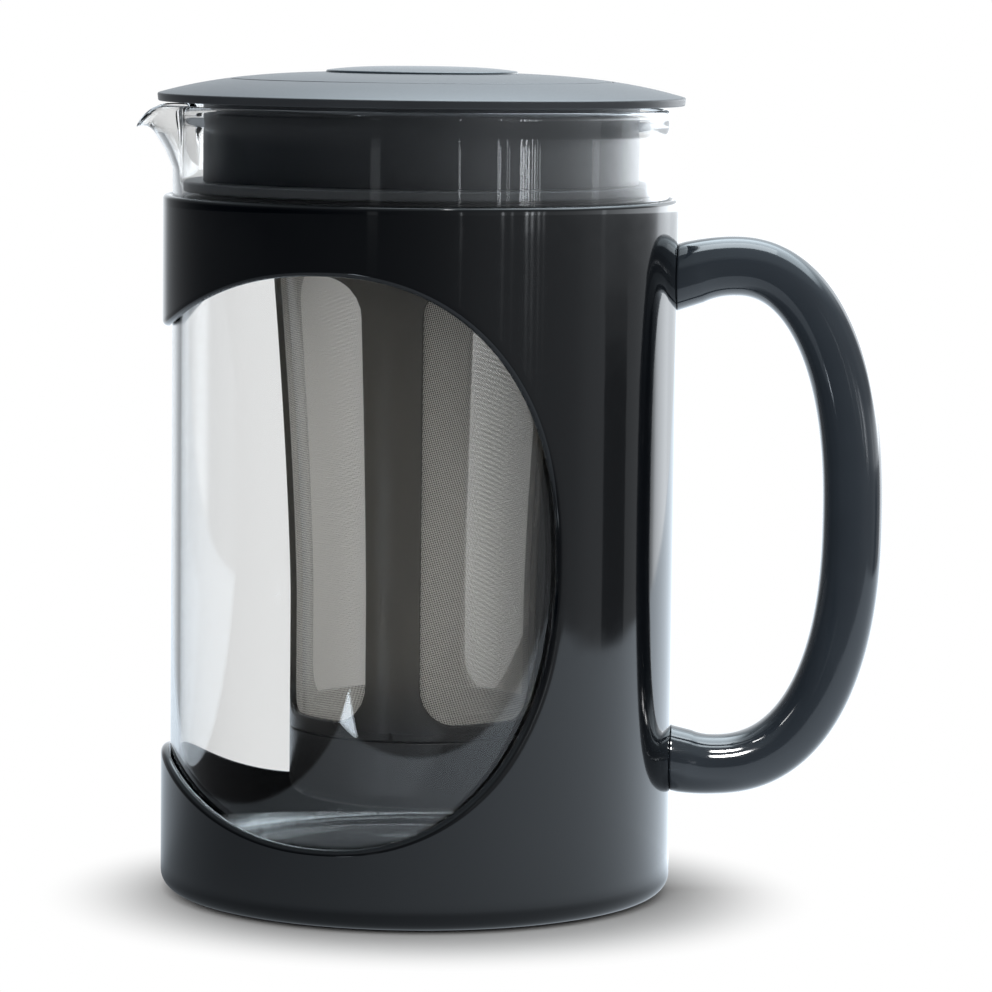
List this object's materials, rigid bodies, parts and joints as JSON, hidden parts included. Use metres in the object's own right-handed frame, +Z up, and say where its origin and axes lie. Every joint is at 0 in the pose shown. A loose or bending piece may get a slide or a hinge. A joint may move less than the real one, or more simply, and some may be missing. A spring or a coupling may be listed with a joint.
{
  "type": "cold brew coffee maker",
  "caption": "Glass carafe in a plastic sleeve with a side window and a loop handle, closed by a domed lid that carries a removable mesh brew core.",
  "frame": {"origin": "centre of the foot pad's underside, on the carafe's axis at table level", "axes": "+Z up along the carafe's axis, +X towards the handle, -X towards the spout, -Y towards the front with the window in view"},
  "size_m": [0.1725, 0.1208, 0.19],
  "materials": {
    "sleeve_plastic": "gloss blue-black",
    "handle_plastic": "gloss blue-black",
    "screw_steel": "plain steel",
    "pad_silicone": "matte",
    "carafe_glass": "clear",
    "gasket_silicone": "smoke silicone",
    "lid_plastic": "satin blue-black",
    "badge_plastic": "satin blue-grey",
    "core_plastic": "smoke black",
    "mesh_cloth": "fine woven filter mesh"
  },
  "bodies": {
    "holder": {"sleeve": "sleeve_plastic", "handle": "handle_plastic", "handle_screws": "screw_steel", "foot_pad": "pad_silicone", "glass_cushion": "pad_silicone"},
    "glass": {"carafe": "carafe_glass"},
    "lid_ring": {"lid_gasket": "gasket_silicone"},
    "lid": {"lid_body": "lid_plastic", "lid_cover": "lid_plastic", "lid_badge": "badge_plastic", "lid_socket": "lid_plastic"},
    "core_ring": {"core_seal": "gasket_silicone"},
    "core": {"core_collar": "core_plastic", "core_frame": "core_plastic", "mesh_front_left": "mesh_cloth", "mesh_front_right": "mesh_cloth", "mesh_rear_right": "mesh_cloth", "mesh_rear_left": "mesh_cloth"},
    "cap_ring": {"cap_seal": "gasket_silicone"},
    "cap": {"core_cap": "core_plastic"}
  },
  "joints": [
    {"name": "carafe_lift", "type": "slide", "parent": "holder", "child": "glass", "axis": [0, 0, 1], "range_m": [0, 0.18]},
    {"name": "lid_lift", "type": "slide", "parent": "glass", "child": "lid_ring", "axis": [0, 0, 1], "range_m": [0, 0.17]},
    {"name": "lid_turn", "type": "hinge", "parent": "lid_ring", "child": "lid", "pos_m": [0, 0, 0], "axis": [0, 0, 1], "continuous": true},
    {"name": "core_turn", "type": "hinge", "parent": "lid", "child": "core_ring", "pos_m": [0, 0, 0], "axis": [0, 0, 1], "range_deg": [0, 240]},
    {"name": "core_drop", "type": "slide", "parent": "core_ring", "child": "core", "axis": [0, 0, -1], "range_m": [0, 0.007]},
    {"name": "cap_turn", "type": "hinge", "parent": "core", "child": "cap_ring", "pos_m": [0, 0, 0], "axis": [0, 0, 1], "range_deg": [0, 180]},
    {"name": "cap_drop", "type": "slide", "parent": "cap_ring", "child": "cap", "axis": [0, 0, -1], "range_m": [0, 0.0065]}
  ],
  "couplings": [
    {"joint": "core_turn", "follows": "core_drop", "rad_per_m": 598.4},
    {"joint": "cap_turn", "follows": "cap_drop", "rad_per_m": 483.32}
  ]
}
